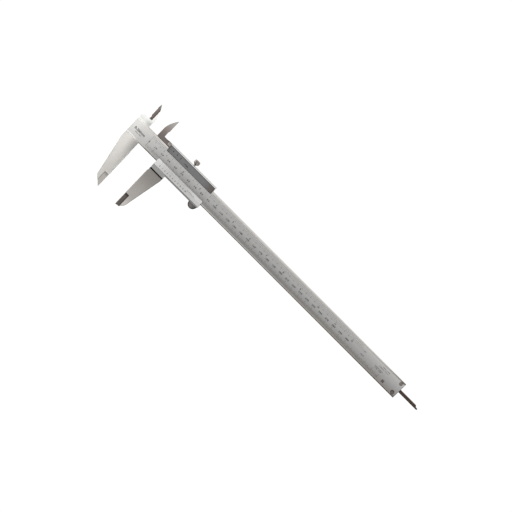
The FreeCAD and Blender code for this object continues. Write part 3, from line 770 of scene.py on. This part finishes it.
class Marks:
    """Filled marks on one flat face. They stand a hair proud, each as its own closed solid."""

    def __init__(self, edge, crest=None):
        """edge and crest are two (y, z) points of the face. Numerals stand towards +Y."""
        crest = crest or (edge[0] + 1.0, edge[1])
        run = Vector((0.0, crest[0] - edge[0], crest[1] - edge[1])).normalized()
        self.up = run if run.y > 0 else -run
        self.normal = Vector((1.0, 0.0, 0.0)).cross(self.up)
        self.edge = edge
        self.corners, self.faces = [], []

    def point(self, x, y, right=0.0, up=0.0, out=0.0):
        """The face's point above (x, y), moved within the face and out of it."""
        z = self.edge[1] + (y - self.edge[0]) * self.up.z / self.up.y
        return Vector((x + right, y, z)) + self.up * up + self.normal * out

    def add(self, corners, faces):
        start = len(self.corners)
        self.corners += corners
        self.faces += [[start + i for i in face] for face in faces]

    def rectangle(self, x, y, width, height):
        """A filled rectangle centred above (x, y). Its height is measured along Y."""
        half = height / 2 / self.up.y
        sides = [(-width / 2, -half), (width / 2, -half), (width / 2, half), (-width / 2, half)]
        self.add([self.point(x, y, a, b, out) for out in (-MARK_SUNK, MARK_PROUD) for a, b in sides],
                 BOX_FACES)

    def line(self, x, low, high, width=LINE):
        self.rectangle(x, (low + high) / 2, width, high - low)

    def text(self, words, x, y, height, squeeze=0.92, align="centre", bold=0.035, spacing=1.0):
        """Text with digits of a height, squeezed along X, centred on y."""
        corners, faces = lettering(words, bold, spacing)
        digits = lettering("0", bold)[0]
        low = min(c.y for c in digits)
        scale = height / (max(c.y for c in digits) - low)
        left, right = min(c.x for c in corners), max(c.x for c in corners)
        anchor = {"centre": (left + right) / 2, "left": left, "right": right}[align]
        placed = []
        for c in corners:
            out = MARK_PROUD if c.z > 0 else -MARK_SUNK
            placed.append(self.point(x, y, (c.x - anchor) * scale * squeeze,
                                     (c.y - low) * scale - height / 2, out))
        self.add(placed, faces)

    def piece(self, name, body, filling=INK):
        return add_piece(name, body, self.corners, self.faces, filling)


# ---- scales -------------------------------------------------------------------------------------

def metric_scale(marks):
    """350 mm of lines from the strip's lower edge, with a numeral at each centimetre up to 300."""
    for step in range(351):
        top = -2.6 if step % 10 == 0 else -3.5 if step % 5 == 0 else -4.5
        width = LONG_LINE if step % 10 == 0 else LINE
        marks.line(METRIC_ZERO_X + step, SCALE_LOW_Y + LINE_MARGIN, top, width)
    for step in range(0, 301, 10):
        gap = 1.5 if step < 100 else 1.2
        marks.text(str(step), METRIC_ZERO_X + step, -0.5, 1.9, 1.15, spacing=gap)


def inch_scale(marks):
    """Sixteenths of an inch from the strip's upper edge. Each quarter has a small numeral."""
    for step in range(12 * 16 + 9):
        x = METRIC_ZERO_X + step * INCH / 16
        low = next(y for every, y in ((16, 3.6), (4, 4.3), (2, 4.7), (1, 5.2)) if step % every == 0)
        marks.line(x, low, SCALE_HIGH_Y - LINE_MARGIN)
        if step % 4 == 0 and step % 16 and step < 12 * 16:
            marks.text(str(step % 16), x, 3.5, 1.05, bold=0.01)
        elif step % 16 == 0 and 0 < step < 10 * 16:
            marks.text(str(step // 16), x - 0.7, 2.2, 2.1, align="right")
        elif step % 16 == 0 and 0 < step:
            marks.text(str(step // 16), x + 0.3, 2.2, 2.1)


def beam_scales():
    marks = Marks((0.0, SCALE_Z))
    metric_scale(marks)
    inch_scale(marks)
    marks.line(METRIC_ZERO_X, SCALE_LOW_Y + LINE_MARGIN, SCALE_HIGH_Y - LINE_MARGIN, VERNIER_LINE)
    marks.text("mm", 330.6, -0.45, 1.8, 1.2, bold=0.0)
    marks.text("in", 330.4, 4.0, 1.8, bold=0.0)
    marks.text("0-300mm", -7.4, 0.0, 2.8, 1.0, bold=0.028, spacing=1.05)
    marks.text("0.05mm  1/128in", -7.5, -3.0, 0.9, 1.05)
    marks.piece("beam_scale_marks", "beam")
    tail = Marks((0.0, SCALE_Z))
    tail.text("0-300mm 0.05mm", 353.6, 1.3, 1.2, 1.0)
    tail.text("0-12in  1/128in", 353.6, -0.2, 1.2, 1.0)
    tail.text("0.05mm  1/128in", 360.5, 6.1, 1.0, 1.15, bold=0.02)
    tail.text("0-300mm  0-12in", 358.2, 4.1, 1.0, 1.4, bold=0.025)
    tail.rectangle(365.5, -5.2, 3.4, 3.3)
    tail.piece("beam_tail_marks", "beam", ETCHED)


def metric_vernier():
    """20 divisions over 39 mm, with a numeral at every second line."""
    division = 39.0 / 20
    marks = Marks(*LOW_FACE)
    high = LOW_FACE[0][0] - VERNIER_MARGIN
    for step in range(21):
        low = -9.2 if step % 2 == 0 else -8.3
        marks.line(VERNIER_ZERO_X + step * division, low, high, VERNIER_LINE)
    for step in range(11):
        marks.text(str(step), VERNIER_ZERO_X + step * 2 * division, -10.8, 1.6)
    marks.piece("metric_vernier_marks", "slider")
    label = Marks(*LOW_FACE)
    label.text("0.05mm", 79.4, -8.8, 1.8, 1.1, bold=0.0, spacing=1.15)
    label.piece("metric_vernier_label", "slider", ETCHED)


def inch_vernier():
    """8 divisions over 7/16 in, with a numeral at every fourth line."""
    division = 7 * INCH / 16 / 8
    marks = Marks(*HIGH_FACE)
    low = HIGH_FACE[0][0] + VERNIER_MARGIN
    for step in range(9):
        high = 9.4 if step % 4 == 0 else 8.6
        marks.line(VERNIER_ZERO_X + step * division, low, high, VERNIER_LINE)
    for step in (0, 4, 8):
        marks.text(str(step), VERNIER_ZERO_X + step * division, 10.8, 1.8, bold=0.07)
    marks.text("1/128in", 54.7, 9.4, 1.6, 1.0, bold=0.03)
    marks.piece("inch_vernier_marks", "slider")


beam_scales()
metric_vernier()
inch_vernier()


# ---- lock screw ---------------------------------------------------------------------------------

def saw(phase):
    """1 at whole numbers, 0 half way between them."""
    return abs(2.0 * (phase - math.floor(phase)) - 1.0)


def lathe(rings, segments, centre):
    """Closed surface about a line along Y. A ring is (y, function of its angle that gives radius)."""
    corners, faces = [], []
    for y, radius in rings:
        for index in range(segments):
            angle = 2 * math.pi * index / segments
            r = radius(angle)
            corners.append((centre[0] + r * math.sin(angle), y, centre[1] + r * math.cos(angle)))
    for ring in range(len(rings) - 1):
        for index in range(segments):
            after = (index + 1) % segments
            a, b = ring * segments + index, ring * segments + after
            faces.append((a, b, b + segments, a + segments))
    faces.append(tuple(reversed(range(segments))))
    last = (len(rings) - 1) * segments
    faces.append(tuple(last + i for i in range(segments)))
    return corners, faces


def lock_screw():
    """Thumb screw with its thread, and a drum with a straight knurl. Radii, and places along Y."""
    thread, groove, pitch, neck = 1.45, 0.27, 0.5, 1.1
    tip, thread_start, thread_end, fade = 12.24, 12.54, 15.1, 0.4
    drum, teeth, depth = 3.45, 44, 0.17
    foot, top = LOCK_HEAD_Y

    def plain(radius):
        return lambda angle: radius

    def threaded(y):
        share = min(1.0, (y - tip) / fade, (thread_end - y) / fade)
        return lambda angle: thread - groove * share * saw(angle / (2 * math.pi) + y / pitch)

    def knurl(radius, share):
        return lambda angle: radius - depth * share * saw(teeth * angle / (2 * math.pi))

    rings = [(tip, plain(0.7)), (tip, plain(1.15)), (tip + 0.25, plain(thread))]
    steps = 48
    for step in range(1, steps):
        y = thread_start + (thread_end - thread_start) * step / steps
        rings.append((y, threaded(y)))
    rings += [(thread_end + 0.02, plain(thread)), (thread_end + 0.3, plain(neck)),
              (foot - 0.5, plain(neck)), (foot - 0.25, plain(1.5)), (foot - 0.2, plain(1.6)),
              (foot + 0.6, plain(2.8)), (foot + 0.7, plain(2.9)), (foot + 0.8, plain(3.2)),
              (foot + 0.95, knurl(drum - 0.03, 0.6)), (foot + 1.1, knurl(drum, 1.0)),
              (top - 0.85, knurl(drum, 1.0)), (top - 0.65, knurl(drum - 0.05, 0.6)),
              (top - 0.4, plain(3.2)), (top - 0.05, plain(2.9)), (top, plain(2.8)),
              (top, plain(2.2)), (top - 0.05, plain(2.1)), (top - 0.18, plain(2.0)),
              (top - 0.2, plain(1.9)), (top - 0.2, plain(0.5))]
    corners, faces = lathe(rings, teeth * 4, (LOCK_X, LOCK_Z))
    piece = add_piece("lock_screw_knurled", "lock_screw", corners, faces, knurled,
                      smooth=True)
    piece.data.set_sharp_from_angle(angle=math.radians(30))
    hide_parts("lock_screw")


lock_screw()


# ---- thumb serrations ---------------------------------------------------------------------------

def serrations():
    """Ridges on the lower rail's slope, above the thumb rest."""
    top, foot = Vector((0.0, -13.45, 6.45)), Vector((0.0, -15.2, 5.39))
    start, end, count = 83.3, 93.5, 12
    sunk, proud = -0.15, 0.28
    wide, narrow = 0.36, 0.12         # half of a ridge's width, below and on its top
    across = (foot - top).normalized()
    out = across.cross(Vector((1.0, 0.0, 0.0))).normalized()
    if out.z < 0:
        out = -out
    corners, faces = [], []
    pitch = (end - start) / count
    for index in range(count):
        x = start + (index + 0.5) * pitch
        base = len(corners)
        for at in (top, foot):
            for dx, height in ((-wide, sunk), (wide, sunk), (narrow, proud), (-narrow, proud)):
                corners.append(at + out * height + Vector((x + dx, 0.0, 0.0)))
        faces += [[base + i for i in face] for face in BOX_FACES]
    add_piece("thumb_serrations", "slider", corners, faces, slider_steel)


serrations()


# ---- studio -------------------------------------------------------------------------------------

def world_light():
    """Plain soft light: brighter on the side of the inside jaws and over the head."""
    world = bpy.data.worlds.new("studio")
    scene.world = world
    world.use_nodes = True
    tree = world.node_tree
    tree.nodes.clear()

    def node(kind, **settings):
        made = tree.nodes.new(kind)
        for name, value in settings.items():
            setattr(made, name, value)
        return made

    def maths(operation, a, b):
        made = node("ShaderNodeMath", operation=operation)
        for socket, value in zip(made.inputs, (a, b)):
            if isinstance(value, bpy.types.NodeSocket):
                tree.links.new(value, socket)
            else:
                socket.default_value = value
        return made.outputs[0]

    def ramp(value, low, high, start, end):
        made = node("ShaderNodeMapRange", interpolation_type="SMOOTHSTEP")
        tree.links.new(value, made.inputs["Value"])
        for name, number in (("From Min", low), ("From Max", high), ("To Min", start),
                             ("To Max", end)):
            made.inputs[name].default_value = number
        return made.outputs["Result"]

    direction = node("ShaderNodeTexCoord").outputs["Generated"]
    split = node("ShaderNodeSeparateXYZ")
    tree.links.new(direction, split.inputs[0])
    dx, dy, dz = split.outputs
    sideways = ramp(dy, -0.60, 0.45, 0.30, 0.95)
    low_part = ramp(dz, -0.10, 0.30, 0.08, 1.0)
    bright_side = ramp(dy, -0.15, 0.30, 0.0, 1.0)
    keep = maths("ADD", low_part, maths("MULTIPLY", bright_side, maths("SUBTRACT", 1.0, low_part)))
    over_head = maths("MULTIPLY", ramp(dx, -0.145, -0.29, 0.0, 1.3), ramp(dz, 0.5, 0.9, 0.0, 1.0))
    from_table = maths("MULTIPLY", ramp(dz, -0.75, -0.95, 0.0, 1.0), ramp(dx, 0.05, 0.13, 0.0, 1.0))
    light = maths("ADD", maths("MULTIPLY", sideways, keep), over_head)
    light = maths("ADD", light, from_table)
    back = node("ShaderNodeBackground")
    tree.links.new(light, back.inputs["Strength"])
    white = node("ShaderNodeBackground")
    white.inputs["Strength"].default_value = 1.0
    white.inputs["Color"].default_value = (1.0, 1.0, 1.0, 1.0)
    pick = node("ShaderNodeMixShader")
    tree.links.new(node("ShaderNodeLightPath").outputs["Is Camera Ray"], pick.inputs[0])
    tree.links.new(back.outputs[0], pick.inputs[1])
    tree.links.new(white.outputs[0], pick.inputs[2])
    out = node("ShaderNodeOutputWorld")
    tree.links.new(pick.outputs[0], out.inputs["Surface"])


def floor():
    """Plain white floor, seen from above only."""
    size, gap = 6.0, 0.02 * MM
    z = cad_box[0][2] - gap
    mesh = bpy.data.meshes.new("floor")
    mesh.from_pydata([(-size, -size, z), (size, -size, z), (size, size, z), (-size, size, z)], [],
                     [(0, 1, 2, 3)])
    material = bpy.data.materials.new("floor_white")
    material.use_nodes = True
    tree = material.node_tree
    tree.nodes.clear()
    glow = tree.nodes.new("ShaderNodeEmission")
    glow.inputs["Strength"].default_value = 1.05
    clear = tree.nodes.new("ShaderNodeBsdfTransparent")
    pick = tree.nodes.new("ShaderNodeMixShader")
    out = tree.nodes.new("ShaderNodeOutputMaterial")
    facing = tree.nodes.new("ShaderNodeNewGeometry").outputs["Backfacing"]
    tree.links.new(facing, pick.inputs[0])
    tree.links.new(glow.outputs[0], pick.inputs[1])
    tree.links.new(clear.outputs[0], pick.inputs[2])
    tree.links.new(pick.outputs[0], out.inputs["Surface"])
    mesh.materials.append(material)
    made = bpy.data.objects.new("floor", mesh)
    scene.collection.objects.link(made)
    made.visible_glossy = False
    made.visible_diffuse = False
    made.visible_shadow = False


def softbox(name, place, target, width, height, power):
    """A rectangular light in metres and watts, turned to its target."""
    light = bpy.data.lights.new(name, "AREA")
    light.shape = "RECTANGLE"
    light.size, light.size_y = width, height
    light.energy = power
    made = bpy.data.objects.new(name, light)
    scene.collection.objects.link(made)
    made.location = place
    made.rotation_euler = (Vector(target) - Vector(place)).to_track_quat("-Z", "Y").to_euler()
    made.visible_camera = False


def camera():
    """Nearly straight above the beam, turned so that the beam lies on the picture's diagonal."""
    place = Vector((0.24461, 0.15933, 1.27583))
    target = Vector((0.1762, -0.0063, 0.004))
    up = Vector((-0.7067, 0.7055, -0.0539))
    back = (place - target).normalized()
    right = up.cross(back).normalized()
    above = back.cross(right)
    data = bpy.data.cameras.new("camera")
    data.lens = 84.375
    data.sensor_width = 36.0
    data.clip_start, data.clip_end = 0.01, 30.0
    made = bpy.data.objects.new("camera", data)
    scene.collection.objects.link(made)
    turn = Matrix((right, above, back)).transposed()
    made.matrix_world = Matrix.Translation(place) @ turn.to_4x4()
    scene.camera = made


world_light()
floor()
softbox("head_softbox", place=(-0.20, -0.06, 0.45), target=(-0.01, 0.0, 0.0), width=0.26, height=0.34,
        power=0.02)
camera()
scene.view_settings.view_transform = "Standard"
